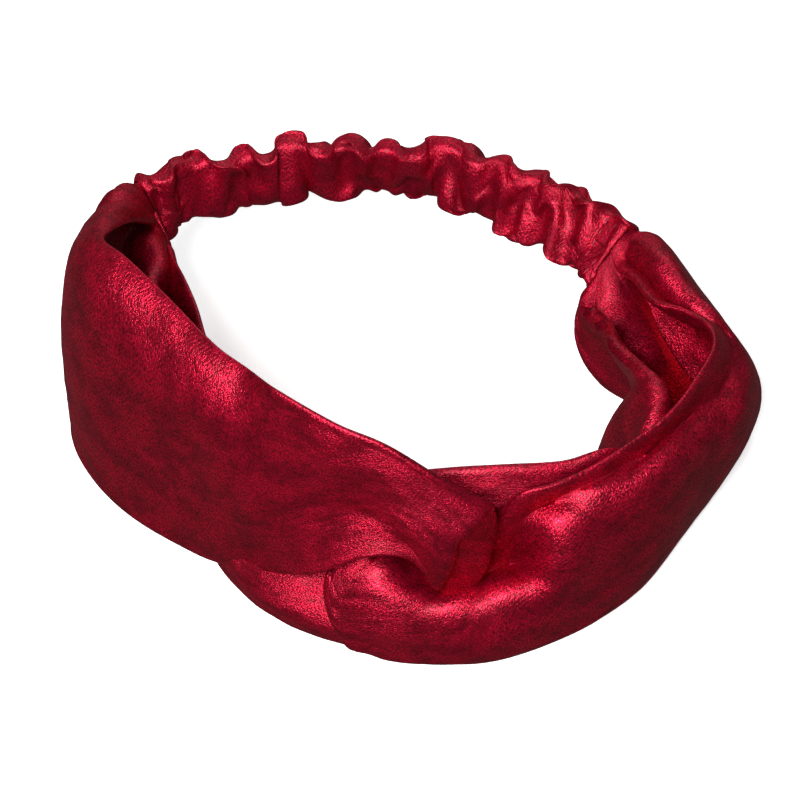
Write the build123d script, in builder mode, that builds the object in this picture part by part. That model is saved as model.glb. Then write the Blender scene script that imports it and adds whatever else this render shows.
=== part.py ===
from build123d import *
import os

# Twist-front headband of soft satin. Two wide fabric tubes are each folded in half and hooked
# through one another at the front, and their four ends are sewn into a narrow gathered casing
# that holds flat elastic at the back.
#
# Frame: millimetres, +Z up, the lower edges on Z = 0, +X to the wearer's left when the knot
# (at -Y) faces the viewer, origin at the middle of the footprint.

os.makedirs("parts", exist_ok=True)

# Driving dimensions
PLY_THICKNESS = 2.4      # a band tube pressed flat: two layers of satin with some loft
HOOK_THICKNESS = 4.6     # the same tube bunched where it turns round the other one
CASING_HEIGHT = 21.0
CASING_THICKNESS = 9.0   # puffed out by its gathers
CASING_WALL = 0.9
CASING_MID_Z = 35.0
ELASTIC_WIDTH = 15.0
ELASTIC_THICKNESS = 1.2
TUCK_DEPTH = 7.0         # how far each ply and the elastic reach into one another at a mouth
TUCK_WIDTH = 18.5        # a ply's gathered end
MOUTH_LEAD = 3.0         # a ply stays this narrow for a short way outside its mouth
FIT_GAP = 0.15           # clearance between the layers at a mouth
STITCH_LENGTH = 2.4
STITCH_PITCH = 3.2
STITCH_WIDTH = 0.5
STITCH_HEIGHT = 0.3
STITCHES_PER_ROW = 5
MOUTH_ROW_DEPTH = 3.0    # the top stitching, from the mouth's folded edge
TACK_ROW_DEPTH = 5.5

# The middle line of the casing and elastic, from the left mouth to the right one, in plan.
CASING_LINE = [
    (-68.0, 50.0),
    (-58.5, 57.5),
    (-48.5, 62.0),
    (-30.5, 65.5),
    (-10.0, 67.1),
    (8.0, 62.5),
    (20.5, 56.0),
    (33.0, 47.0),
    (44.5, 36.7),
    (48.5, 30.5),
]

# Each ply runs through stations, and a station is its lower edge and its upper edge.
# Left band: the outer ply from the left mouth round to the knot.
LEFT_OUTER_PLY = [
    ((-77, 40, 14), (-73, 34, 52)),
    ((-84, 22, 5), (-73, 16, 62)),
    ((-86, 4, -0.6), (-72, 0, 70)),
    ((-81, -13, -0.6), (-69, -14, 75)),
    ((-69, -25, -0.6), (-58, -28, 75)),
    ((-53, -38, 2), (-45, -44, 75)),
    ((-37, -52, 10), (-31, -56, 73)),
    ((-24, -60.5, 24), (-18, -63, 69)),
    ((-16, -64, 34), (-10, -66, 66)),
    ((-2, -66.5, 34), (3, -67, 61)),
]
# The left band turned down and inward behind the right band's front ply.
LEFT_HOOK = [
    ((9, -66, 31), (13, -63, 48)),
    ((14.5, -65.5, 27), (16, -58, 33)),
    ((13.5, -64.5, 15), (13.5, -56.5, 20)),
]
# The left band's inner ply from the knot back to the left mouth.
LEFT_INNER_PLY = [
    ((6, -63.5, 3), (6, -60, 22)),
    ((-4, -62, 1), (-4, -60, 24)),
    ((-15, -62.5, -0.6), (-14.5, -60, 13)),
    ((-28, -59, -0.6), (-27, -54, 19)),
    ((-40, -51, -0.6), (-38, -45, 24)),
    ((-48, -39, -0.6), (-42, -33, 34)),
    ((-53, -24, -0.6), (-46, -22, 42)),
    ((-58, -6, -0.6), (-50, -8, 46)),
    ((-62, 12, 2), (-55, 10, 47)),
    ((-65, 30, 8), (-61, 27, 47)),
]
# Right band: the outer ply from the right mouth round to the knot.
RIGHT_OUTER_PLY = [
    ((62, 27, 12), (60, 27, 43)),
    ((77, 22, 4), (66, 13, 44)),
    ((86, 10, -0.6), (73, -2, 41)),
    ((81, -8, -0.6), (79, -15, 36)),
    ((69, -25, -0.6), (69, -29, 40)),
    ((54, -44, -0.6), (55, -46, 44)),
    ((38, -58.5, -0.6), (40, -59, 48)),
    ((23, -67.5, -0.6), (25, -68, 42)),
    ((8, -70.5, -0.6), (10, -70, 27)),
    ((-4, -70, -0.6), (-5, -69.5, 27)),
]
# The right band turned up and inward behind the left band's outer ply.
RIGHT_HOOK = [
    ((-12, -69, 6), (-14, -67.5, 25)),
    ((-17, -62, 15), (-18, -68, 22)),
    ((-15.5, -55.5, 28), (-16, -61, 32)),
]
# The right band's inner ply from the knot back to the right mouth.
RIGHT_INNER_PLY = [
    ((-6, -56, 35), (-6, -53, 50)),
    ((5, -54, 34), (5, -53, 51)),
    ((18, -54.5, 30), (18, -54.5, 51)),
    ((33, -51, 22), (34, -52, 51)),
    ((47, -41, 14), (48, -43, 52)),
    ((55, -27, 7), (57, -30, 52)),
    ((52, -12, 3), (54, -15, 48)),
    ((47, 3, 2), (51, 0, 45)),
    ((49, 14, 3), (50, 10, 44)),
    ((44, 24, 12), (47, 20, 42)),
]


def mouth_directions(end, neighbour):
    """The way into the casing at one of its mouths, and the way out through its outer face."""
    inward = (Vector(*neighbour) - Vector(*end)).normalized()
    outward = Vector(-inward.Y, inward.X)
    if outward.dot(Vector(*end)) < 0:
        outward = -outward
    return inward, outward


def mouth_station(end, neighbour, depth, offset, width):
    """An upright station in a mouth: depth beyond the folded edge, offset towards the outside."""
    inward, outward = mouth_directions(end, neighbour)
    place = Vector(*end) + inward * depth + outward * offset
    low, high = CASING_MID_Z - width / 2, CASING_MID_Z + width / 2
    return (place.X, place.Y, low), (place.X, place.Y, high)


def loft_along(stations, thicknesses):
    """Lofts a rectangle from station to station, square at each to the way through it."""
    middles = [(Vector(*low) + Vector(*high)) / 2 for low, high in stations]
    last = len(stations) - 1
    sections = []
    for index, (low, high) in enumerate(stations):
        across = (Vector(*high) - Vector(*low)).normalized()
        ahead = middles[min(index + 1, last)] - middles[max(index - 1, 0)]
        ahead = (ahead - across * ahead.dot(across)).normalized()
        with BuildSketch(Plane(origin=middles[index], x_dir=across, z_dir=ahead)) as section:
            Rectangle((Vector(*high) - Vector(*low)).length, thicknesses[index])
        sections.append(section.sketch)
    for section, following in zip(sections, sections[1:]):
        loft([section, following], ruled=True)


def band_route(end, neighbour, outer_ply, hook, inner_ply):
    """The stations of one folded band, from its outer end round the knot to its inner end."""
    offset = ELASTIC_THICKNESS / 2 + FIT_GAP + PLY_THICKNESS / 2
    depths = (TUCK_DEPTH, 0, -MOUTH_LEAD)
    outer_end = [mouth_station(end, neighbour, d, offset, TUCK_WIDTH) for d in depths]
    inner_end = [mouth_station(end, neighbour, d, -offset, TUCK_WIDTH) for d in reversed(depths)]
    stations = outer_end + outer_ply + hook + inner_ply + inner_end
    thicknesses = (
        [PLY_THICKNESS] * (len(outer_end) + len(outer_ply))
        + [HOOK_THICKNESS] * len(hook)
        + [PLY_THICKNESS] * (len(inner_ply) + len(inner_end))
    )
    return stations, thicknesses


LEFT_END, LEFT_NEXT = CASING_LINE[0], CASING_LINE[1]
RIGHT_END, RIGHT_NEXT = CASING_LINE[-1], CASING_LINE[-2]

# ---- The two bands -----------------------------------------------------------------------
with BuildPart() as left_band:
    loft_along(*band_route(LEFT_END, LEFT_NEXT, LEFT_OUTER_PLY, LEFT_HOOK, LEFT_INNER_PLY))
    split(bisect_by=Plane.XY, keep=Keep.TOP)
left_band.part.label = "left_band"
export_step(left_band.part, "parts/left_band.step")

with BuildPart() as right_band:
    loft_along(*band_route(RIGHT_END, RIGHT_NEXT, RIGHT_OUTER_PLY, RIGHT_HOOK, RIGHT_INNER_PLY))
    split(bisect_by=Plane.XY, keep=Keep.TOP)
right_band.part.label = "right_band"
export_step(right_band.part, "parts/right_band.step")


# ---- The casing and its elastic ----------------------------------------------------------
def casing_sections(height, thickness):
    """Upright rectangles square to the casing's line, one at each of its points."""
    last = len(CASING_LINE) - 1
    sections = []
    for index, place in enumerate(CASING_LINE):
        before = Vector(*CASING_LINE[max(index - 1, 0)])
        after = Vector(*CASING_LINE[min(index + 1, last)])
        square_to_line = Plane(
            origin=(place[0], place[1], CASING_MID_Z),
            x_dir=(0, 0, 1),
            z_dir=(after - before).normalized(),
        )
        with BuildSketch(square_to_line) as section:
            Rectangle(height, thickness)
        sections.append(section.sketch)
    return sections


with BuildPart() as rear_casing:
    loft(casing_sections(CASING_HEIGHT, CASING_THICKNESS), ruled=True)
    hollow = casing_sections(CASING_HEIGHT - 2 * CASING_WALL, CASING_THICKNESS - 2 * CASING_WALL)
    loft(hollow, ruled=True, mode=Mode.SUBTRACT)
rear_casing.part.label = "rear_casing"
export_step(rear_casing.part, "parts/rear_casing.step")

with BuildPart() as elastic_strip:
    loft(casing_sections(ELASTIC_WIDTH, ELASTIC_THICKNESS), ruled=True)
elastic_strip.part.label = "elastic_strip"
export_step(elastic_strip.part, "parts/elastic_strip.step")


# ---- Thread at the two mouths ------------------------------------------------------------
def stitch_rows(end, neighbour, depth, face_offset):
    """Two upright rows of stitches, on the outer and the inner face, at one depth."""
    inward, outward = mouth_directions(end, neighbour)
    for side in (1, -1):
        offset = side * (face_offset + STITCH_HEIGHT / 2)
        place = Vector(*end) + inward * depth + outward * offset
        row = Plane(origin=(place.X, place.Y, CASING_MID_Z), x_dir=(0, 0, 1), z_dir=outward)
        with BuildSketch(row.offset(-STITCH_HEIGHT / 2)) as stitches:
            with GridLocations(STITCH_PITCH, 1, STITCHES_PER_ROW, 1):
                SlotOverall(STITCH_LENGTH, STITCH_WIDTH)
        extrude(stitches.sketch, amount=STITCH_HEIGHT)


STACK_FACE = ELASTIC_THICKNESS / 2 + FIT_GAP + PLY_THICKNESS
CASING_FACE = CASING_THICKNESS / 2
TACK_CLEARANCE = 0.02
TOP_STITCH_CLEARANCE = 0.05

for side_name, end, neighbour in (
    ("left", LEFT_END, LEFT_NEXT),
    ("right", RIGHT_END, RIGHT_NEXT),
):
    with BuildPart() as mouth_stitching:
        stitch_rows(end, neighbour, MOUTH_ROW_DEPTH, CASING_FACE + TOP_STITCH_CLEARANCE)
    mouth_stitching.part.label = f"{side_name}_mouth_stitching"
    export_step(mouth_stitching.part, f"parts/{side_name}_mouth_stitching.step")

    with BuildPart() as elastic_tack:
        stitch_rows(end, neighbour, TACK_ROW_DEPTH, STACK_FACE + TACK_CLEARANCE)
    elastic_tack.part.label = f"{side_name}_elastic_tack"
    export_step(elastic_tack.part, f"parts/{side_name}_elastic_tack.step")
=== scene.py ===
import math

import bmesh
import bpy
import numpy as np
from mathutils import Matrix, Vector, noise

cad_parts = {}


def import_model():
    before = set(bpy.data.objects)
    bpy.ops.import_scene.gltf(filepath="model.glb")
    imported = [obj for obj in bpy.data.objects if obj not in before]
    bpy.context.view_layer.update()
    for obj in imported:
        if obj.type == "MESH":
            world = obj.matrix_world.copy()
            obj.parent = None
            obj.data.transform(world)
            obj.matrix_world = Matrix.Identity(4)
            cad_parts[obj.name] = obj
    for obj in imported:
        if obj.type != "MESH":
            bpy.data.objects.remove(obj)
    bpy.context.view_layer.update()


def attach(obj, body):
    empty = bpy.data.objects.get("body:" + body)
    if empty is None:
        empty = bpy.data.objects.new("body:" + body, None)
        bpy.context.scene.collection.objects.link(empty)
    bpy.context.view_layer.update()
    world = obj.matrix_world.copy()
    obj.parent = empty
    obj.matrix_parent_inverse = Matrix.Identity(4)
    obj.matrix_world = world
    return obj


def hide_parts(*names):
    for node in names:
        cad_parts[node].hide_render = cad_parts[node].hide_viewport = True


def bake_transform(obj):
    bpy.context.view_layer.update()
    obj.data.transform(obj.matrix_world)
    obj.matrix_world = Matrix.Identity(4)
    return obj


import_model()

MM = 0.001
TINY = 1e-9              # keeps a division from failing where a length is nothing
CLOTH_THICK = 0.22       # mm, one layer of satin
POINTS_ACROSS = 46       # points from a ply's lower edge to its upper edge
BAND_STEP = 0.95         # mm between rows of points along a band

# A ply is given by stations in millimetres, in the frame's axes. A station is a row of points on
# the ply's middle, from its lower edge to its upper edge. The rows inside a mouth of the casing
# are in MOUTH_ROWS.

# Left band, outer ply, from the left mouth round to the knot: lower edge, wall, shoulder, the
# part that leans in, and upper edge. Its last row is the fold where it turns down.
LEFT_OUTER = [
    [(-71.5, 47.5, 24), (-74, 45.5, 34), (-73, 44.5, 46), (-69.2, 43, 43), (-66.6, 43.4, 35)],
    [(-75, 43, 17), (-78.5, 40, 33), (-75, 37.5, 49.5), (-70.5, 35.5, 48), (-67.5, 36.5, 41.5)],
    [(-82, 31, 7), (-83.5, 27, 31), (-77, 25.5, 54), (-72.8, 24.5, 56), (-69.4, 24.5, 52)],
    [(-85.4, 15, 1), (-84.2, 12.5, 30), (-80, 12.5, 57), (-75.4, 10.5, 63), (-71.4, 9, 63)],
    [(-86, 2, 0.6), (-84.4, 1.5, 33), (-80.8, 0.5, 58), (-76.6, -1.5, 66.5), (-72.4, -2, 69)],
    [(-79.5, -12.5, 0.6), (-78.5, -14.5, 30), (-74.5, -16.5, 58), (-71.5, -16, 67),
     (-66.5, -12, 72.5)],
    [(-69, -25, 0.6), (-67.5, -28, 30), (-62.5, -32.2, 56.7), (-60, -29.3, 65.3),
     (-57, -24, 72.2)],
    [(-53, -38, 2), (-52, -41.5, 30), (-48.2, -46.3, 57), (-46.6, -43.9, 65.3),
     (-44.7, -39, 70.1)],
    [(-45, -45.7, 6.5), (-44.6, -47.2, 25), (-42.4, -51.9, 50), (-40, -50.6, 62.4),
     (-37.8, -46, 70.1)],
    [(-37, -53, 12.8), (-37.3, -52.5, 19), (-36.5, -55, 38), (-33, -56.3, 59.2),
     (-30.8, -56.6, 73.5)],
    [(-24, -65.6, 25.4), (-24, -63.2, 30.8), (-23.2, -61.3, 42.5), (-20.2, -64.5, 61),
     (-18.2, -64.9, 71.6)],
    [(-13, -69.6, 35), (-13, -66.6, 39.2), (-11.2, -64.8, 45.8), (-9.2, -68, 59.4),
     (-7.8, -67.9, 68.2)],
    [(-3, -69.6, 34.8), (-2.6, -68.4, 39), (-1, -70.2, 46), (0.8, -70.2, 53.9), (3, -69, 60.3)],
    [(3, -70.4, 26), (4.6, -71, 34), (6, -71.6, 42), (8.8, -71.2, 47.2), (14.4, -66.8, 50.2)],
]
# The left band turned down and inward, behind the right band's front ply.
LEFT_HOOK = [
    [(3.7, -67.2, 23), (5.6, -67.6, 31), (6.9, -69.4, 39.8), (9.7, -70, 45.6), (14.9, -66, 48.6)],
    [(4.8, -66.4, 19.6), (9.8, -64.8, 21.6), (13, -64.6, 29.4), (14.5, -65.6, 38.6),
     (15.2, -65.2, 46)],
    [(4.2, -66, 16), (7.5, -64.5, 18), (12.4, -62.6, 25)],
    [(6.2, -65.6, 12), (8.8, -64, 15.5), (11.5, -60, 22)],
]
# Left band, inner ply, from the knot back towards the left mouth: lower edge, face and upper
# edge. Near the mouth a fold of it stands between its face and its upper edge.
LEFT_INNER = [
    [(3.5, -64, 2.5), (4, -63.5, 12), (4, -60, 21)],
    [(-4, -64.5, 0.6), (-4, -65, 11), (-4, -61, 22)],
    [(-14, -64.8, 0.6), (-14, -66, 9), (-14, -60.5, 17.5), (-14.5, -56.5, 30)],
    [(-22, -62.5, 0.6), (-22, -64.5, 8.5), (-22, -58, 17.5), (-22, -54.5, 30)],
    [(-31, -58, 0.6), (-31, -60, 9), (-30, -53.5, 18.5), (-29.5, -50.5, 26)],
    [(-40, -50.5, 0.6), (-40, -51.5, 10), (-37, -45, 24)],
    [(-48, -39, 0.6), (-47, -38, 17), (-42, -34, 34)],
    [(-53, -24, 0.6), (-51, -23, 21), (-46, -22, 42)],
    [(-58, -6, 0.6), (-57, -7, 14), (-57, -7, 24), (-54, -7.5, 35), (-50.4, -8, 44.5)],
    [(-61, 3, 0.8), (-62, 3, 16), (-62, 4, 32), (-57.5, 3, 33), (-53, 1, 46)],
    [(-64, 14, 2), (-67, 13, 20), (-65, 12, 40), (-60.5, 13, 31), (-56.8, 12, 45.5)],
    [(-67, 28, 8), (-72, 27, 31), (-63.4, 23, 40), (-61.6, 24.5, 31), (-60.4, 24.5, 40)],
    [(-68, 38, 16), (-69.6, 35.5, 35.5), (-64.6, 33, 37), (-63.4, 34.5, 30), (-62.8, 34.5, 36)],
    [(-67, 44, 23), (-67.6, 42.8, 33), (-65.4, 41.5, 32.5), (-64.8, 42.5, 28.5), (-64.4, 42, 31)],
]
# Right band, outer ply, from the right mouth round to the knot. Between its two edges a row
# has the wall, the shoulder, and a ridge with the groove behind it. Near the knot it has the
# roll along the bottom, and the pit behind that.
RIGHT_OUTER = [
    [(52, 31, 19), (58, 33, 29), (57, 32.5, 40), (53.4, 29, 39.5), (51.6, 28.6, 35.5),
     (48.6, 26.6, 35)],
    [(59, 25.5, 8), (65.5, 27, 25), (60.5, 22.8, 42), (57.6, 17.8, 44.5),
     (55.4, 20.5, 37.5), (51.6, 17.6, 39.5)],
    [(68, 17, 1.5), (73, 18.5, 22), (64, 11.5, 42), (61.6, 8.6, 44.8), (59.2, 9.5, 39),
     (55.2, 3.8, 44.5)],
    [(79.5, 12, 0.6), (78.6, 10, 20), (68.6, 2.4, 42), (67, 0.6, 44.6), (65, 1.2, 40.6),
     (61, -1.2, 47)],
    [(81.5, 3.5, 0.6), (81.4, -0.5, 20), (75, -6, 38), (71.2, -4.5, 41), (66.2, -8, 48.6)],
    [(75.5, -8, 0.6), (78.4, -12, 18), (75.4, -17.8, 36), (71.6, -13.8, 39.6), (67.2, -17, 50)],
    [(69, -19.5, 0.6), (73, -23, 19), (71.6, -27, 37), (67.2, -23.6, 40), (62, -28.5, 50)],
    [(62, -30.5, 0.6), (64.8, -34.5, 20), (62.6, -38.5, 40.5), (58.6, -34.6, 42.4),
     (55.7, -39.5, 50.5)],
    [(51, -47.5, 0.6), (53, -50.8, 20), (53.2, -51.6, 38), (52.2, -49.6, 44.8),
     (50.4, -45.6, 43.8), (47.8, -47.6, 50.6)],
    [(39.5, -58, 0.6), (40.5, -60.4, 20), (41.2, -60.8, 36), (39.8, -58.4, 45),
     (39, -55.6, 45.4), (38.2, -55.6, 50.4)],
    [(28, -65, 0.6), (29, -67, 17), (30, -67, 32), (29.4, -64, 41), (28.4, -59, 42.2),
     (29, -61.3, 50)],
    [(17.5, -69.3, 0.6), (17.5, -71.2, 12), (18.5, -67.8, 22), (19.5, -57, 19),
     (20, -60, 36), (20, -62.5, 47)],
    [(8, -70.3, 0.6), (8, -71.6, 11), (8.5, -69.3, 20), (8, -60, 14), (9, -56, 23)],
    [(-2, -69.8, 0.6), (-2.5, -71, 11), (-2, -69.5, 21), (-2.5, -63, 21), (-3, -57, 21)],
    [(-9, -68.5, 1), (-10.5, -70, 11), (-9.5, -68.5, 24), (-8.5, -65, 27), (-7, -59, 26)],
]
# The right band turned up and inward, behind the left band's outer ply.
RIGHT_HOOK = [
    [(-13, -65, 5), (-16.5, -68, 6), (-18.5, -66.5, 15), (-15.5, -65.5, 25), (-11, -63.5, 29.5)],
    [(-14.5, -61, 18), (-17.5, -63, 18), (-19.5, -63, 23), (-15.5, -61, 29), (-11, -60, 33)],
    [(-12, -57.5, 24), (-14, -59, 30), (-14, -59, 36), (-12, -58, 41), (-10, -56, 44)],
]
# Right band, inner ply, from the knot back towards the right mouth: upright at first, then
# lower edge, face towards the head, crest, and the shelf behind the crest that slopes down to
# the outer ply's foot.
RIGHT_INNER = [
    [(-5, -57, 20), (-5, -56, 29), (-5, -55.5, 37), (-5, -55, 42), (-5, -54.5, 46)],
    [(6, -56, 21), (6, -55.5, 30), (6, -55.2, 38), (6, -55, 43.5), (6, -54.5, 48)],
    [(18, -56.5, 22), (18, -56.8, 31), (18, -56.5, 38), (18, -55.5, 44), (18, -54.5, 49)],
    [(31, -53, 16), (31, -54, 26), (31, -54, 35), (31, -53.5, 42.5), (31, -53, 48.5)],
    [(41.5, -45, 10), (42.5, -46.5, 22), (43, -47.5, 32), (43, -48, 40), (43.5, -47.5, 47)],
    [(46.5, -32, 6), (48.5, -35, 25), (52, -36.5, 43), (57, -31, 34), (61, -28, 25),
     (66, -25, 15)],
    [(43, -13, 6), (47, -19, 28), (54, -26, 45), (59, -18, 30), (65, -14, 18), (72, -11, 7)],
    [(53.5, -1.7, 3), (52.5, -10, 27), (50.5, -18, 43.5), (56, -8, 27), (62, -4.5, 17),
     (75, -1, 5)],
    [(57, 6.5, 1), (52.5, 2, 21), (46, -5.4, 39), (52, 2.5, 23), (57, 4.5, 18),
     (63, 6.5, 14.5), (72, 10, 6)],
    [(55.5, 12.5, 1), (52, 10.5, 17), (45.3, 6.8, 33), (49, 11.5, 22.6), (53.5, 12, 22),
     (58.5, 13, 20), (66, 17, 9)],
    [(46, 20, 3), (44, 20.5, 16), (42, 20, 27), (44.6, 17.5, 23), (49.5, 18.5, 24.6),
     (55.5, 21, 22.5), (61, 25, 12)],
    [(41, 25, 13), (41, 25.2, 20), (42.2, 25, 26.5), (44.6, 24.6, 25), (48.5, 25, 26.6),
     (53, 28.5, 25), (56, 32, 22)],
]

# The casing's middle line from the left mouth to the right one: a point, and how far its upper
# edge leans out (degrees).
CASING_LINE = [
    ((-68.2, 50.2, 35), 8),
    ((-58.5, 57.8, 34.6), 3),
    ((-48.5, 62, 33.8), -6),
    ((-39, 64, 34.2), -6),
    ((-30.5, 65.3, 35.8), -4),
    ((-10, 66.6, 35), -17),
    ((0, 65.2, 35), -12),
    ((8, 62.7, 35.6), 3),
    ((20.5, 56.2, 35), 12),
    ((33, 47.5, 35.2), 20),
    ((44, 37.8, 34.6), 34),
    ((48.4, 32, 34.4), 44),
]

# A ply's rows of points inside a mouth, from its lower edge to its upper edge: up and out from
# the casing's middle line, in mm. The outer ply bends over the elastic like a C.
MOUTH_ROWS = {
    "left outer": [(-7, 1.9), (0.5, 2.3), (8.5, 0.4), (2, -2.3), (-7.2, -2.3)],
    "left inner": [(-6, -1.1), (-3, -1.3), (0, -1.3), (3, -1.3), (6, -1.1)],
    "right outer": [(-6, 1.9), (1, 2.3), (8, 0.6), (6, -1.8), (3.5, -2.3), (0.5, -2.3)],
    "right inner": [(-7.6, 1), (-7.9, -0.8), (-6, -2.1), (-4, -2.1), (-1.5, -1.4), (2.5, -0.6)],
}
MOUTH_DEPTHS = (7.0, 3.0, 0.0)   # mm inside the folded edge, the deepest row first
MOUTH_SAMPLES = 200              # points along the casing's line that a mouth is read from


# ---- Curves and noise --------------------------------------------------------------------
SEED_SPACING = 7.31      # keeps the noise of two seeds apart
NOISE_FADE = 0.9         # how much weaker each finer octave is
NOISE_STEP = 2.1         # and how much finer


def length_of(points):
    """The length of a line through rows of points, averaged over the rows' points."""
    points = np.asarray(points, float)
    gaps = np.diff(points, axis=0).reshape(len(points) - 1, -1, 3)
    return float(np.linalg.norm(gaps, axis=2).mean(axis=1).sum())


def through(points, at):
    """Points on a smooth line through rows of points, at shares of the line's length."""
    points = np.asarray(points, float)
    gaps = np.diff(points, axis=0).reshape(len(points) - 1, -1, 3)
    steps = np.linalg.norm(gaps, axis=2).mean(axis=1)
    along = np.concatenate([[0], np.cumsum(steps)])
    slopes = np.empty_like(points)
    flat = (slice(None),) + (None,) * (points.ndim - 1)
    slopes[1:-1] = (points[2:] - points[:-2]) / (along[2:] - along[:-2])[flat]
    slopes[0] = (points[1] - points[0]) / steps[0]
    slopes[-1] = (points[-1] - points[-2]) / steps[-1]
    wanted = np.asarray(at) * along[-1]
    span = np.clip(np.searchsorted(along, wanted, side="right") - 1, 0, len(steps) - 1)
    length = steps[span][flat]
    t = ((wanted - along[span]) / steps[span])[flat]
    a, b = points[span], points[span + 1]
    m, n = slopes[span] * length, slopes[span + 1] * length
    return (
        a * (2 * t**3 - 3 * t**2 + 1)
        + m * (t**3 - 2 * t**2 + t)
        + b * (3 * t**2 - 2 * t**3)
        + n * (t**3 - t**2)
    )


def wander(x, y, seed, octaves=2):
    """Smooth noise from about -1 to 1 over a grid of two coordinates."""
    total = np.zeros(x.shape)
    for index in np.ndindex(x.shape):
        place = Vector((x[index], y[index], seed * SEED_SPACING))
        total[index] = noise.fractal(place, NOISE_FADE, NOISE_STEP, octaves)
    return total


def bump(at, middle, width):
    """A smooth hump, 1 at its middle."""
    return np.exp(-(((at - middle) / width) ** 2))


def rise(at, start, end):
    """A smooth step from 0 at the start to 1 at the end."""
    t = np.clip((at - start) / (end - start), 0, 1)
    return t * t * (3 - 2 * t)


# ---- Meshes ------------------------------------------------------------------------------
FOLD_SQUARENESS = 20     # higher makes the folded edges of a pressed tube tighter


def normals_of(grid):
    """Unit normals of a surface given as a grid of points."""
    along = np.gradient(grid, axis=0)
    across = np.gradient(grid, axis=1)
    out = np.cross(along, across)
    return out / np.maximum(np.linalg.norm(out, axis=2, keepdims=True), TINY)


def new_piece(name, points, faces):
    """A mesh object of points in metres, in the scene."""
    mesh = bpy.data.meshes.new(name)
    mesh.from_pydata(points, [], faces)
    piece = bpy.data.objects.new(name, mesh)
    bpy.context.collection.objects.link(piece)
    return piece


def tube_mesh(name, rings, cloth):
    """A tube, open at both ends, through rings of points in mm; cloth is each point's place on
    the flat cloth, in mm, kept for the weave."""
    count, around = rings.shape[:2]
    index = np.arange(count * around).reshape(count, around)
    following = np.roll(index, -1, axis=1)
    faces = np.stack([index[:-1], index[1:], following[1:], following[:-1]], axis=-1)
    points = rings.reshape(-1, 3) * MM
    piece = new_piece(name, points.tolist(), faces.reshape(-1, 4).tolist())
    spot = piece.data.attributes.new("cloth", "FLOAT_VECTOR", "POINT")
    spot.data.foreach_set("vector", cloth.reshape(-1).astype(np.float32))
    piece.data.shade_smooth()
    return piece


def thicken(piece):
    """Gives the cloth its thickness, inwards from its visible face."""
    cloth = piece.modifiers.new("cloth_thickness", "SOLIDIFY")
    cloth.thickness = CLOTH_THICK * MM
    cloth.offset = -1


def flattened_tube(name, middle, thickness, cloth_along, cloth_across):
    """A tube pressed flat about a middle surface, with soft round folds at its two edges."""
    share = np.linspace(0, 1, middle.shape[1])
    share = (1 - np.cos(np.pi * share)) / 2
    half = 0.5 * np.sqrt(np.clip(1 - np.abs(2 * share - 1) ** FOLD_SQUARENESS, 0, 1))
    out = normals_of(middle) * (half * thickness)[..., None]
    front, back = middle + out, middle - out
    rings = np.concatenate([front, back[:, -2:0:-1]], axis=1)
    other_side = 2 * cloth_across[:, -1:] - cloth_across
    flat_across = np.concatenate([cloth_across, other_side[:, -2:0:-1]], axis=1)
    flat_along = np.repeat(cloth_along[:, None], flat_across.shape[1], axis=1)
    cloth = np.stack([flat_along, flat_across, np.zeros_like(flat_across)], axis=-1)
    return tube_mesh(name, rings, cloth)


# ---- The casing's own directions ---------------------------------------------------------
def arc_marks(points):
    """The distance of each point along the line through them."""
    return np.concatenate([[0], np.cumsum(np.linalg.norm(np.diff(points, axis=0), axis=1))])


def frame_along(line, count):
    """Points, the way along, the way up across the casing and the way out, at each row."""
    places = np.array([place for place, lean in line], float)
    leans = np.radians(np.array([lean for place, lean in line], float))
    steps = np.linspace(0, 1, count)
    point = through(places, steps)
    lean = np.interp(steps * length_of(places), arc_marks(places), leans)
    ahead = np.gradient(point, axis=0)
    ahead /= np.linalg.norm(ahead, axis=1, keepdims=True)
    level = np.cross((0, 0, 1), ahead)
    level /= np.linalg.norm(level, axis=1, keepdims=True)
    upright = np.cross(ahead, level)
    c, d = np.cos(lean)[:, None], np.sin(lean)[:, None]
    return point, ahead, upright * c + level * d, level * c - upright * d


def mouth_rows(name):
    """A ply's rows inside its mouth, the deepest first."""
    point, ahead, up, out = frame_along(CASING_LINE, MOUTH_SAMPLES)
    end, inward = (0, 1) if name.startswith("left") else (-1, -1)
    rows = []
    for depth in MOUTH_DEPTHS:
        start = point[end] + ahead[end] * inward * depth
        rows.append([tuple(start + up[end] * u + out[end] * w) for u, w in MOUTH_ROWS[name]])
    return rows


# ---- The two bands -----------------------------------------------------------------------
# Lengths are in mm. A run is a length along the band over which the noise changes, and a slant
# is one over which a pleat or a crease drifts sideways.
FLAT_WIDTH = 78.0        # a band tube pressed flat
MOUTH_CALM = 10.0        # outside a mouth, the band gains its loft and swells over this length
SEAM_PLEATS_AT = 6.0     # the pleats of a mouth's seam are deepest here
SEAM_REACH = 24.0        # and run out about this far
HOOK_PLEATS = 0.9        # the depth of the hooks' pleats against a seam's
HOOK_REACH = 30.0
PLEAT_DEPTH = 1.3
PLEAT_MEAN = 0.25        # taken off the noise, so that pleats go in as well as out
PLEATS_ACROSS = 4.4
PLEAT_SLANT = 110
PLEAT_RUN = 80
SWELL_DEPTH = 0.8
SWELLS_ACROSS = 1.6
SWELL_RUN = 52
CREASE_DEPTH = 0.35
CREASES_ACROSS = 7
CREASE_SLANT = 40
CREASE_RUN = 17
CREASE_OCTAVES = 3
EDGE_CALM = 0.06         # share of the width that stays smooth at each folded edge
LOWEST = 0.5             # the lowest height of a ply's middle
SEAM_LOFT = 0.8          # the pressed tube's thickness in a mouth
EDGE_LOFT = 1.4          # what it gains outside
MIDDLE_LOFT = 0.9        # what it gains besides, half-way between its edges
PLEAT_LOFT = 0.5         # and where it is pleated


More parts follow.
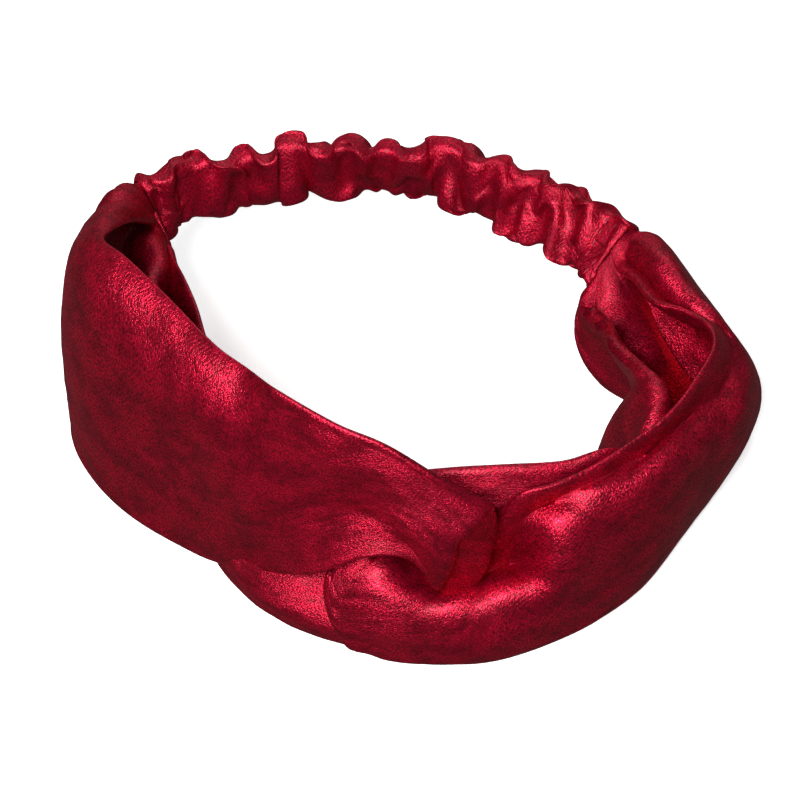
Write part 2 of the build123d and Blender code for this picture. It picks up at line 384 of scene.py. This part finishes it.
def unevenness(s, v, gather, outside, seed):
    """How far pleats, swells and creases push a band's surface, in mm."""
    pleats = np.abs(wander(v * PLEATS_ACROSS + s / PLEAT_SLANT, s / PLEAT_RUN, seed)) - PLEAT_MEAN
    swell = wander(v * SWELLS_ACROSS, s / SWELL_RUN, seed + 1, 1)
    crease_at = v * CREASES_ACROSS + s / CREASE_SLANT
    creases = np.abs(wander(crease_at, s / CREASE_RUN, seed + 2, CREASE_OCTAVES))
    calm = rise(v, 0, EDGE_CALM) * rise(v, 1, 1 - EDGE_CALM) * outside
    return (
        PLEAT_DEPTH * gather * pleats
        + SWELL_DEPTH * swell * calm
        - CREASE_DEPTH * creases * calm
    )


def band(name, outer, hook, inner, side, seed):
    """One folded band: its surface through the stations, then pleats, swells and creases."""
    across = (1 - np.cos(np.pi * np.linspace(0, 1, POINTS_ACROSS))) / 2
    outer = mouth_rows(side + " outer") + outer
    inner = inner + mouth_rows(side + " inner")[::-1]
    stations = np.stack([through(row, across) for row in outer + hook + inner])
    length = length_of(stations)
    rows = int(length / BAND_STEP)
    middle = through(stations, np.linspace(0, 1, rows))
    along = np.linspace(0, length, rows)
    hook_at = length_of(stations[: len(outer) + len(hook) // 2 + 1])

    s, v = np.meshgrid(along, across, indexing="ij")
    from_mouth = np.minimum(s, length - s) - MOUTH_DEPTHS[0]
    outside = rise(from_mouth, 0, MOUTH_CALM)
    gather = outside * bump(from_mouth, SEAM_PLEATS_AT, SEAM_REACH)
    gather += HOOK_PLEATS * bump(s, hook_at, HOOK_REACH)
    push = unevenness(s, v, gather, outside, seed)
    middle = middle + normals_of(middle) * push[..., None]
    middle[..., 2] = np.maximum(middle[..., 2], LOWEST)

    loft = EDGE_LOFT + MIDDLE_LOFT * np.sin(np.pi * v)
    thickness = SEAM_LOFT + outside * loft + PLEAT_LOFT * gather
    return flattened_tube(name, middle, thickness, along, v * FLAT_WIDTH)


left_band = band(
    "left_band_satin", LEFT_OUTER, LEFT_HOOK, LEFT_INNER, side="left", seed=3
)
right_band = band(
    "right_band_satin", RIGHT_OUTER, RIGHT_HOOK, RIGHT_INNER, side="right", seed=11
)
for piece, node, slot in (
    (left_band, "left_band", "left_satin"),
    (right_band, "right_band", "right_satin"),
):
    thicken(piece)
    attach(piece, "front")
    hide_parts(node)


# ---- The gathered casing -----------------------------------------------------------------
# Lengths are in mm. The casing starts as a nearly smooth tube. Its rows of points are then pushed
# apart towards the length of the cloth, round after round, while the cloth resists bending, keeps
# its width round the tube and stays off the elastic.
ELASTIC_HALF_WIDTH = 7.5
ELASTIC_HALF_THICK = 0.6
CASING_HEIGHT = 18.6     # the tube's section before it is gathered
CASING_THICKNESS = 3.0
HEIGHT_POWER = 0.8       # powers below 1 square the section's corners
DEPTH_POWER = 0.6
CASING_STEP = 0.62       # between rows of points
CASING_AROUND = 76       # points in a row
MOUTH_TAPER = 16.0       # over this length the casing widens to its mouths
MOUTH_WIDER = 2.1        # each way, at a mouth
LEFT_MOUTH_SLANT = 4.6   # the left mouth's top edge reaches this much further than its bottom
FACES_APART = 0.8        # sets the noise of the outer face apart from the inner face's
FIRST_SEED = 31          # the small waves that the folds grow from
FIRST_DEPTH = 1.1
FIRST_RUN = 9.0
FIRST_SLANT = 0.9
FIRST_ACROSS = 0.5
FIRST_OCTAVES = 3
FIRST_UPRIGHT = 0.8      # share of a first wave that lifts the edges
MOUTH_SMOOTHNESS = 0.8   # share of it that is taken off at a mouth
GATHER = 1.58            # cloth length over gathered length that the rows are pushed towards
GATHER_SEED = 33
GATHER_SPREAD = 0.6      # how unevenly the gathers are pushed together
GATHER_RUN = 15
GATHER_ACROSS = 0.35
HEM = 4.0                # length of calmer cloth at each mouth
HEM_GATHER = 0.25        # share of the gathering that a mouth has
GATHER_ROUNDS = 420
FIRST_SHARE = 0.15       # share of the gathering in the first round
GROWING = 0.55           # share of the rounds over which most of it is added
CLOTH_ROUND = 54         # the weave pattern's width round the tube
ROUND_SLACK = 1.16       # cloth round the tube over the section's outline
CLOTH_CLEARANCE = 0.35   # between the elastic and the cloth's middle
LOW_EDGE = ELASTIC_HALF_WIDTH + 2 * CLOTH_CLEARANCE
EDGE_POINTS = 0.97       # points past this share of the height belong to the edges
PUFF_LIMIT = 4.2         # how far cloth may stand from the casing's middle surface
EDGE_LIMIT = 9.6         # and from its middle line, up or down
SLIP_LIMIT = 2.5         # and slip along the casing
SLIP_KEPT = 0.995        # share of its slip that a round keeps
SOFTENING = 4            # rounds of smoothing after that
SOFTER_ALONG = 0.3
SOFTER_ROUND = 0.15

# Reaching over this many points, with this strength, cloth resists bending to less than this
# share of its length: between the rows along the casing, and between the points round it.
ALONG_STIFFNESS = (
    (1, 0.9, 1.0),
    (2, 0.6, 0.97),
    (4, 0.4, 0.93),
    (7, 0.28, 0.85),
    (11, 0.10, 0.72),
)
ROUND_STIFFNESS = ((1, 0.8, 1.0), (2, 0.4, 0.95))


def pull_pairs(spots, first, second, rest, strength, only_short):
    """Moves each pair of points towards its rest distance, half each."""
    gap = spots[second] - spots[first]
    long = np.linalg.norm(gap, axis=-1, keepdims=True)
    off = (long - rest) / np.maximum(long, TINY)
    if only_short:
        off = np.minimum(off, 0)
    step = gap * off * (0.5 * strength)
    spots[first] += step
    spots[second] -= step


def push_rows_apart(spots, rest):
    """Pushes neighbouring rows to their rest distances, and rows further apart to nearly that."""
    rows = np.arange(len(spots))
    for reach, strength, limit in ALONG_STIFFNESS:
        for offset in range(2 * reach):
            first = rows[offset:-reach:2 * reach]
            span = rest[first] * reach * limit
            pull_pairs(spots, first, first + reach, span[..., None], strength, reach > 1)


def keep_width(spots, rest):
    """Keeps the cloth's width round the tube."""
    every_row = slice(None)
    for reach, strength, limit in ROUND_STIFFNESS:
        for offset in range(2 * reach):
            first = np.arange(offset, CASING_AROUND, 2 * reach)
            second = (first + reach) % CASING_AROUND
            span = rest * reach * limit
            pull_pairs(spots, (every_row, first), (every_row, second), span, strength, reach > 1)


def keep_in_place(spots, line, high, deep):
    """Keeps the cloth off the elastic, and near the casing's middle."""
    point, ahead, up, out = (part[:, None] for part in line)
    away = spots - point
    height = (away * up).sum(axis=2)
    depth = (away * out).sum(axis=2)
    slip = (away * ahead).sum(axis=2)
    over = np.sign(high) * height
    at_edge = np.abs(high) > EDGE_POINTS
    height = np.where(at_edge, np.sign(high) * np.maximum(over, LOW_EDGE), height)
    face = np.where(deep >= 0, 1.0, -1.0)
    near = np.abs(height) < ELASTIC_HALF_WIDTH + CLOTH_CLEARANCE
    least = ELASTIC_HALF_THICK + CLOTH_CLEARANCE
    depth = np.where(near, face * np.maximum(face * depth, least), depth)
    depth = np.clip(depth, -PUFF_LIMIT, PUFF_LIMIT)
    height = np.clip(height, -EDGE_LIMIT, EDGE_LIMIT)
    slip = np.clip(slip, -SLIP_LIMIT, SLIP_LIMIT) * SLIP_KEPT
    return point + up * height[..., None] + out * depth[..., None] + ahead * slip[..., None]


def soften(spots):
    """Moves each point towards the middle of its neighbours."""
    for turn in range(SOFTENING):
        beside = (spots[2:] + spots[:-2]) / 2
        around = (np.roll(spots, 1, axis=1) + np.roll(spots, -1, axis=1)) / 2
        spots[1:-1] += (
            SOFTER_ALONG * (beside - spots[1:-1]) + SOFTER_ROUND * (around[1:-1] - spots[1:-1])
        )


def first_tube(line, length, s, high, deep, side):
    """The tube before it is gathered: wider at its mouths, with the small first waves."""
    point, ahead, up, out = (part[:, None] for part in line)
    wave_at = s / FIRST_RUN + FIRST_SLANT * high
    wave = FIRST_DEPTH * wander(wave_at, high * FIRST_ACROSS + side, FIRST_SEED, FIRST_OCTAVES)
    mouth = 1 - rise(s, 0, MOUTH_TAPER) * rise(s, length, length - MOUTH_TAPER)
    tall = high * (CASING_HEIGHT / 2 + wave * FIRST_UPRIGHT)
    wide = deep * (CASING_THICKNESS / 2 + MOUTH_WIDER * mouth)
    wide += np.sign(deep) * np.abs(wave) * (1 - MOUTH_SMOOTHNESS * mouth)
    slant = (1 - rise(s, 0, MOUTH_TAPER)) * tall / CASING_HEIGHT * LEFT_MOUTH_SLANT
    return point + up * tall[..., None] + out * wide[..., None] - ahead * slant[..., None]


def casing():
    """The gathered tube's points, their places on the flat cloth, and the casing's length."""
    length = length_of([place for place, lean in CASING_LINE])
    rows = int(length / CASING_STEP)
    line = frame_along(CASING_LINE, rows)
    angle = np.linspace(0, 2 * np.pi, CASING_AROUND, endpoint=False)
    s, a = np.meshgrid(np.linspace(0, length, rows), angle, indexing="ij")
    high = np.sign(np.sin(a)) * np.abs(np.sin(a)) ** HEIGHT_POWER
    deep = np.sign(np.cos(a)) * np.abs(np.cos(a)) ** DEPTH_POWER
    side = np.sign(deep) * FACES_APART
    spots = first_tube(line, length, s, high, deep, side)

    from_hem = rise(s, 0, HEM) * rise(s, length, length - HEM)
    uneven = 1 + GATHER_SPREAD * wander(s / GATHER_RUN, high * GATHER_ACROSS + side, GATHER_SEED, 1)
    gather = 1 + (GATHER - 1) * uneven * (HEM_GATHER + (1 - HEM_GATHER) * from_hem)
    outline = np.linalg.norm(np.roll(spots, -1, axis=1) - spots, axis=2).sum(axis=1).mean()
    step_round = outline / CASING_AROUND * ROUND_SLACK
    step_along = length / (rows - 1)
    mouths = np.concatenate([spots[:1], spots[-1:]])

    for turn in range(GATHER_ROUNDS):
        share = min(1.0, FIRST_SHARE + turn / (GATHER_ROUNDS * GROWING))
        push_rows_apart(spots, step_along * (1 + (gather - 1) * share))
        keep_width(spots, step_round)
        spots = keep_in_place(spots, line, high, deep)
        spots[0], spots[-1] = mouths
    soften(spots)

    cloth = np.stack([s * GATHER, a / (2 * np.pi) * CLOTH_ROUND, np.zeros_like(s)], axis=-1)
    return spots, cloth, length


HEM_ROWS = 7             # rows of points that the turned-in cloth runs back
HEM_GAP = 0.5            # mm between the middles of the hem's two layers
HEM_BULGE = 0.5          # the turn's reach past the edge, in rows


def hemmed(spots, cloth):
    """Turns the cloth in over each end of the casing and runs it back inside."""
    along = np.gradient(spots, axis=0)
    around = np.roll(spots, -1, axis=1) - np.roll(spots, 1, axis=1)
    inward = np.cross(along, around)
    inward /= np.linalg.norm(inward, axis=2, keepdims=True)
    middle = spots.mean(axis=1, keepdims=True)
    inward *= np.sign(((middle - spots) * inward).sum(axis=2).mean())
    back = slice(HEM_ROWS, 0, -1)
    lining = spots + inward * HEM_GAP
    first_turn = spots[:1] + inward[:1] * HEM_GAP / 2 - along[:1] * HEM_BULGE
    last_turn = spots[-1:] + inward[-1:] * HEM_GAP / 2 + along[-1:] * HEM_BULGE
    rings = [lining[back], first_turn, spots, last_turn, lining[-2:-HEM_ROWS - 2:-1]]
    marks = [cloth[back], cloth[:1], cloth, cloth[-1:], cloth[-2:-HEM_ROWS - 2:-1]]
    return np.concatenate(rings), np.concatenate(marks)


casing_spots, casing_cloth, casing_length = casing()
rear_casing = tube_mesh("rear_casing_satin", *hemmed(casing_spots, casing_cloth))
smooth = rear_casing.modifiers.new("smooth", "SUBSURF")
smooth.levels = smooth.render_levels = 1
thicken(rear_casing)
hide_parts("rear_casing")


# ---- The elastic inside the casing -------------------------------------------------------
ELASTIC_ROWS = 120
ELASTIC_TRIM = 0.3       # mm off each edge, so that the gathers clear it


def elastic():
    """The flat elastic, a closed strip along the casing's middle line."""
    point, ahead, up, out = frame_along(CASING_LINE, ELASTIC_ROWS)
    half_width = ELASTIC_HALF_WIDTH - ELASTIC_TRIM
    corners = [(1, -1), (1, 1), (-1, 1), (-1, -1)]
    rings = np.stack(
        [point + up * (a * half_width) + out * (b * ELASTIC_HALF_THICK) for a, b in corners],
        axis=1,
    )
    cloth = np.zeros_like(rings)
    cloth[..., 0] = np.linspace(0, casing_length, ELASTIC_ROWS)[:, None]
    strip = tube_mesh("elastic_strip_woven", rings, cloth)
    shape = bmesh.new()
    shape.from_mesh(strip.data)
    bmesh.ops.holes_fill(shape, edges=shape.edges[:])
    bmesh.ops.recalc_face_normals(shape, faces=shape.faces[:])
    shape.to_mesh(strip.data)
    shape.free()
    return strip


elastic_strip = elastic()
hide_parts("elastic_strip")


# ---- Thread ------------------------------------------------------------------------------
# Lengths are in mm.
STITCH_LENGTH = 2.4
STITCH_PITCH = 3.2
STITCH_COUNT = 5         # in a row
STITCH_RADIUS = 0.2
STITCH_TAPER = 0.9       # how nearly a stitch closes at its ends
STITCH_SIDES = 8
STITCH_POINTS = 9
STITCH_LIFT = 0.16       # how far a stitch's middle stands above the cloth
STITCH_SINK = 0.34       # and how far its ends go below that
TOP_STITCH_DEPTH = 3.0   # from the mouth's folded edge
TACK_DEPTH = 5.5
TACK_OFFSET = 2.75       # from the elastic's middle to the plies' outer faces in a mouth


def stitches(name, lines, outward):
    """Short round threads that rise out of the cloth and go back in, one for each line."""
    share = np.linspace(-1, 1, STITCH_POINTS)
    angle = np.linspace(0, 2 * np.pi, STITCH_SIDES, endpoint=False)
    points, faces = [], []
    for line, out in zip(lines, outward):
        ahead = line[-1] - line[0]
        ahead = ahead / np.linalg.norm(ahead)
        beside = np.cross(ahead, out)
        middle = line + out * (STITCH_LIFT - STITCH_SINK * share**4)[:, None]
        radius = (STITCH_RADIUS * np.sqrt(1 - STITCH_TAPER * share**8))[:, None, None]
        across = np.cos(angle)[:, None] * out + np.sin(angle)[:, None] * beside
        start = len(points)
        points += (middle[:, None] + across[None] * radius).reshape(-1, 3).tolist()
        for row in range(STITCH_POINTS - 1):
            for side in range(STITCH_SIDES):
                a = start + row * STITCH_SIDES + side
                b = start + row * STITCH_SIDES + (side + 1) % STITCH_SIDES
                faces.append((a, b, b + STITCH_SIDES, a + STITCH_SIDES))
        last = start + (STITCH_POINTS - 1) * STITCH_SIDES
        faces.append(tuple(range(start + STITCH_SIDES - 1, start - 1, -1)))
        faces.append(tuple(range(last, last + STITCH_SIDES)))
    piece = new_piece(name, (np.array(points) * MM).tolist(), faces)
    piece.data.shade_smooth()
    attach(piece, "front")
    return piece


def stitch_heights():
    """Heights along each stitch of an upright row, from the row's middle."""
    share = np.linspace(-1, 1, STITCH_POINTS)
    middles = (np.arange(STITCH_COUNT) - (STITCH_COUNT - 1) / 2) * STITCH_PITCH
    return [middle + share * STITCH_LENGTH / 2 for middle in middles]


def mouth_stitches(side):
    """The top stitches on both faces of the casing at one mouth, and the tacks inside it."""
    rows = len(casing_spots)
    point, ahead, up, out = frame_along(CASING_LINE, rows)
    step = casing_length / (rows - 1)
    end, way = (0, 1) if side == "left" else (rows - 1, -1)
    top_row = end + way * int(round(TOP_STITCH_DEPTH / step))
    tack_row = end + way * int(round(TACK_DEPTH / step))
    ring = casing_spots[top_row]
    away = ring - point[top_row]
    height, depth = away @ up[top_row], away @ out[top_row]
    tops, tacks, outward = [], [], []
    for face in (1, -1):
        chosen = np.flatnonzero(depth * face > 0)
        chosen = chosen[np.argsort(height[chosen])]
        for heights in stitch_heights():
            line = [np.interp(heights, height[chosen], ring[chosen, axis]) for axis in range(3)]
            tops.append(np.stack(line, axis=-1))
            place = point[tack_row] + out[tack_row] * face * TACK_OFFSET
            tacks.append(place + heights[:, None] * up[tack_row])
            outward.append(out[top_row] * face)
    top = stitches(side + "_top_stitches", tops, outward)
    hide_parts(side + "_mouth_stitching")
    tack = stitches(side + "_tack_stitches", tacks, outward)
    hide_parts(side + "_elastic_tack")
    return top, tack


threads = [piece for side in ("left", "right") for piece in mouth_stitches(side)]


for piece in (rear_casing, elastic_strip):
    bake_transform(piece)


# ---- Materials ---------------------------------------------------------------------------
# The satin's patterns are laid out over the flat cloth, in mm.
METALLIC = 0.8
SPECULAR_LEVEL = 0.55
SPECULAR_TINT = (1.0, 0.22, 0.32, 1)
COAT = 0.25
COAT_ROUGHNESS = 0.32
SATIN_BUMP = 0.8
SATIN_BUMP_HEIGHT = 0.0008   # m
PIT_SCALE = 0.45
SPARKLE_SCALE = 2.0
TWILL_SCALE = 0.36
TWILL_WOBBLE = 0.8
PITS_IN_COLOUR = 0.2
PITS_IN_RELIEF = 0.35
GLITTER_IN_RELIEF = 0.13
TWILL_IN_COLOUR = 0.06
TWILL_IN_RELIEF = 0.03
RIB_SCALE = 700              # of the elastic and the thread, over metres
RIB_BUMP = 0.4
RIB_BUMP_HEIGHT = 0.0003     # m


def new_material(name):
    """A material with an empty principled shader, its nodes and their links."""
    material = bpy.data.materials.new(name)
    material.use_nodes = True
    nodes = material.node_tree.nodes
    nodes.clear()
    links = material.node_tree.links
    out = nodes.new("ShaderNodeOutputMaterial")
    shader = nodes.new("ShaderNodeBsdfPrincipled")
    links.new(shader.outputs[0], out.inputs[0])
    return material, shader, nodes, links


def colour_between(nodes, links, first, second, share, target):
    """Feeds a colour between two others into a socket."""
    mix = nodes.new("ShaderNodeMix")
    mix.data_type = "RGBA"
    mix.inputs["A"].default_value = (*first, 1)
    mix.inputs["B"].default_value = (*second, 1)
    links.new(share, mix.inputs["Factor"])
    links.new(mix.outputs["Result"], target)


def relief(nodes, links, height, strength, distance, *targets):
    """Feeds a bump of the given height into the normal sockets."""
    node = nodes.new("ShaderNodeBump")
    node.inputs["Strength"].default_value = strength
    node.inputs["Distance"].default_value = distance
    links.new(height, node.inputs["Height"])
    for target in targets:
        links.new(node.outputs[0], target)


def satin(name, deep, bright, weave_angle, patch_size, dull, glossy):
    """Hammered satin: crushed patches, pits and fine glitter between a deep and a bright colour,
    with a faint twill line. The bright grains are also glossier, from dull to glossy."""
    material, shader, nodes, links = new_material(name)
    place = nodes.new("ShaderNodeAttribute")
    place.attribute_name = "cloth"

    def turned(angle, stretch=(1, 1, 1)):
        mapping = nodes.new("ShaderNodeMapping")
        mapping.inputs["Scale"].default_value = stretch
        mapping.inputs["Rotation"].default_value = (0, 0, math.radians(angle))
        links.new(place.outputs["Vector"], mapping.inputs["Vector"])
        return mapping.outputs[0]

    def grains(scale, detail, rough, angle=0, stretch=(1, 1, 1)):
        node = nodes.new("ShaderNodeTexNoise")
        node.inputs["Scale"].default_value = scale
        node.inputs["Detail"].default_value = detail
        node.inputs["Roughness"].default_value = rough
        links.new(turned(angle, stretch), node.inputs["Vector"])
        return node.outputs["Fac"]

    def ramp(value, low=0.0, high=1.0, first=0.0, last=1.0):
        node = nodes.new("ShaderNodeMapRange")
        node.inputs["From Min"].default_value = low
        node.inputs["From Max"].default_value = high
        node.inputs["To Min"].default_value = first
        node.inputs["To Max"].default_value = last
        links.new(value, node.inputs["Value"])
        return node.outputs[0]

    def calculate(kind, first, second):
        node = nodes.new("ShaderNodeMath")
        node.operation = kind
        for socket, value in zip(node.inputs, (first, second)):
            if isinstance(value, (int, float)):
                socket.default_value = value
            else:
                links.new(value, socket)
        return node.outputs[0]

    def added(total, value, share):
        return calculate("ADD", total, calculate("MULTIPLY", value, share))

    patches = ramp(grains(1 / patch_size, detail=4, rough=0.55), low=0.40, high=0.60)
    pits = grains(PIT_SCALE, detail=4, rough=0.65, stretch=(1, 0.7, 1))
    sparkle = grains(SPARKLE_SCALE, detail=2, rough=0.7, angle=weave_angle, stretch=(1, 0.6, 1))
    glitter = ramp(sparkle, low=0.42, high=0.62)
    twill = nodes.new("ShaderNodeTexWave")
    twill.wave_type = "BANDS"
    twill.bands_direction = "X"
    twill.inputs["Scale"].default_value = TWILL_SCALE
    twill.inputs["Distortion"].default_value = TWILL_WOBBLE
    twill.inputs["Detail"].default_value = 1
    links.new(turned(weave_angle), twill.inputs["Vector"])

    tone = calculate("MULTIPLY", ramp(glitter, first=0.12, last=0.95), ramp(patches, first=0.5))
    tone = added(tone, ramp(pits, low=0.4, high=0.7), PITS_IN_COLOUR)
    tone = added(tone, twill.outputs["Fac"], TWILL_IN_COLOUR)
    colour_between(nodes, links, deep, bright, tone, shader.inputs["Base Color"])

    height = added(calculate("MULTIPLY", pits, PITS_IN_RELIEF), glitter, GLITTER_IN_RELIEF)
    height = calculate("MULTIPLY", height, ramp(patches, first=0.6))
    height = added(height, twill.outputs["Fac"], TWILL_IN_RELIEF)
    normals = shader.inputs["Normal"], shader.inputs["Coat Normal"]
    relief(nodes, links, height, SATIN_BUMP, SATIN_BUMP_HEIGHT, *normals)

    links.new(ramp(glitter, first=dull, last=glossy), shader.inputs["Roughness"])
    shader.inputs["Metallic"].default_value = METALLIC
    shader.inputs["Specular IOR Level"].default_value = SPECULAR_LEVEL
    shader.inputs["Specular Tint"].default_value = SPECULAR_TINT
    shader.inputs["Coat Weight"].default_value = COAT
    shader.inputs["Coat Roughness"].default_value = COAT_ROUGHNESS
    return material


def woven(name, colour, stripe, roughness):
    """Plain ribbed yarn."""
    material, shader, nodes, links = new_material(name)
    place = nodes.new("ShaderNodeTexCoord")
    ribs = nodes.new("ShaderNodeTexWave")
    ribs.inputs["Scale"].default_value = RIB_SCALE
    links.new(place.outputs["Object"], ribs.inputs["Vector"])
    colour_between(nodes, links, colour, stripe, ribs.outputs["Fac"], shader.inputs["Base Color"])
    relief(nodes, links, ribs.outputs["Fac"], RIB_BUMP, RIB_BUMP_HEIGHT, shader.inputs["Normal"])
    shader.inputs["Roughness"].default_value = roughness
    return material


band_satin = satin(
    "hammered_satin",
    deep=(0.022, 0.0001, 0.0012),
    bright=(0.72, 0.0035, 0.043),
    weave_angle=38,
    patch_size=9.0,
    dull=0.52,
    glossy=0.34,
)
# A copy of the bands' satin tuned to how light falls on the casing: its deep colour is painted
# lighter (painted light) and its bright colour darker (painted shade) than the bands'.
casing_satin_painted_lighter = satin(
    "gathered_satin_painted_lighter",
    deep=(0.06, 0.0004, 0.003),
    bright=(0.62, 0.003, 0.037),
    weave_angle=40,
    patch_size=12.0,
    dull=0.56,
    glossy=0.40,
)
elastic_weave = woven("elastic_weave", (0.72, 0.70, 0.66), (0.9, 0.89, 0.86), roughness=0.8)
thread = woven("dark_red_thread", (0.16, 0.002, 0.012), (0.34, 0.006, 0.03), roughness=0.5)

for piece, material in (
    (left_band, band_satin),
    (right_band, band_satin),
    (rear_casing, casing_satin_painted_lighter),
    (elastic_strip, elastic_weave),
    *((stitching, thread) for stitching in threads),
):
    piece.data.materials.append(material)


# ---- Stage: floor, light and camera ------------------------------------------------------
# Metres and watts.
FLOOR_RADIUS = 2.0
WALL_HEIGHT = 1.6
FLOOR_SIDES = 48
FLOOR_GREY = 0.86
FLOOR_ROUGHNESS = 0.9
FLOOR_GLOW = 0.6
WORLD_LIGHT = 0.12
# Each light: its place, the point that it faces, its size and its power.
LIGHTS = {
    "key": ((-0.17, -0.56, 0.60), (0, -0.01, 0.03), 0.26, 13.0),
    "fill": ((0.02, -0.55, 0.45), (0, 0, 0.03), 0.25, 1.2),
    "back": ((0.1, 0.7, 0.6), (0, 0, 0.03), 0.5, 2.0),
}
CAMERA_AIM = Vector((-0.0048, -0.0136, 0.0291))
CAMERA_ELEVATION = 44        # degrees
CAMERA_DISTANCE = 0.582
CAMERA_LENS = 110.7          # mm
CLIP_START = 0.01


def floor():
    """A pale round floor with a low wall about it. It doesn't light the object."""
    angle = np.linspace(0, 2 * np.pi, FLOOR_SIDES, endpoint=False)
    rim = np.stack([np.cos(angle), np.sin(angle), np.zeros_like(angle)], axis=1) * FLOOR_RADIUS
    points = np.concatenate([rim, rim + (0, 0, WALL_HEIGHT)])
    index = np.arange(FLOOR_SIDES)
    following = np.roll(index, -1)
    wall = np.stack([index, index + FLOOR_SIDES, following + FLOOR_SIDES, following], axis=1)
    piece = new_piece("floor", points.tolist(), [index.tolist()] + wall.tolist())
    piece.visible_glossy = False
    piece.visible_diffuse = False
    material, shader, nodes, links = new_material("pale_floor")
    shader.inputs["Base Color"].default_value = (FLOOR_GREY, FLOOR_GREY, FLOOR_GREY, 1)
    shader.inputs["Roughness"].default_value = FLOOR_ROUGHNESS
    shader.inputs["Emission Color"].default_value = (1, 1, 1, 1)
    shader.inputs["Emission Strength"].default_value = FLOOR_GLOW
    piece.data.materials.append(material)


def area_light(name, place, target, size, power):
    """A soft round light that faces its target."""
    light = bpy.data.lights.new(name, "AREA")
    light.shape = "DISK"
    light.size = size
    light.energy = power
    lamp = bpy.data.objects.new(name, light)
    bpy.context.collection.objects.link(lamp)
    lamp.location = place
    lamp.rotation_euler = (Vector(target) - Vector(place)).to_track_quat("-Z", "Y").to_euler()


def world():
    """Even light from all round."""
    studio = bpy.data.worlds.new("studio")
    studio.use_nodes = True
    background = studio.node_tree.nodes["Background"]
    background.inputs["Color"].default_value = (1, 1, 1, 1)
    background.inputs["Strength"].default_value = WORLD_LIGHT
    bpy.context.scene.world = studio


def camera():
    """The photograph's view: from the front, and well above."""
    elevation = math.radians(CAMERA_ELEVATION)
    eye = CAMERA_AIM + CAMERA_DISTANCE * Vector((0, -math.cos(elevation), math.sin(elevation)))
    data = bpy.data.cameras.new("camera")
    data.lens = CAMERA_LENS
    data.clip_start = CLIP_START
    view = bpy.data.objects.new("camera", data)
    bpy.context.collection.objects.link(view)
    view.location = eye
    view.rotation_euler = (CAMERA_AIM - eye).to_track_quat("-Z", "Y").to_euler()
    bpy.context.scene.camera = view


floor()
for light_name, (place, target, size, power) in LIGHTS.items():
    area_light(light_name, place, target, size, power)
world()
bpy.context.scene.view_settings.view_transform = "Standard"
camera()
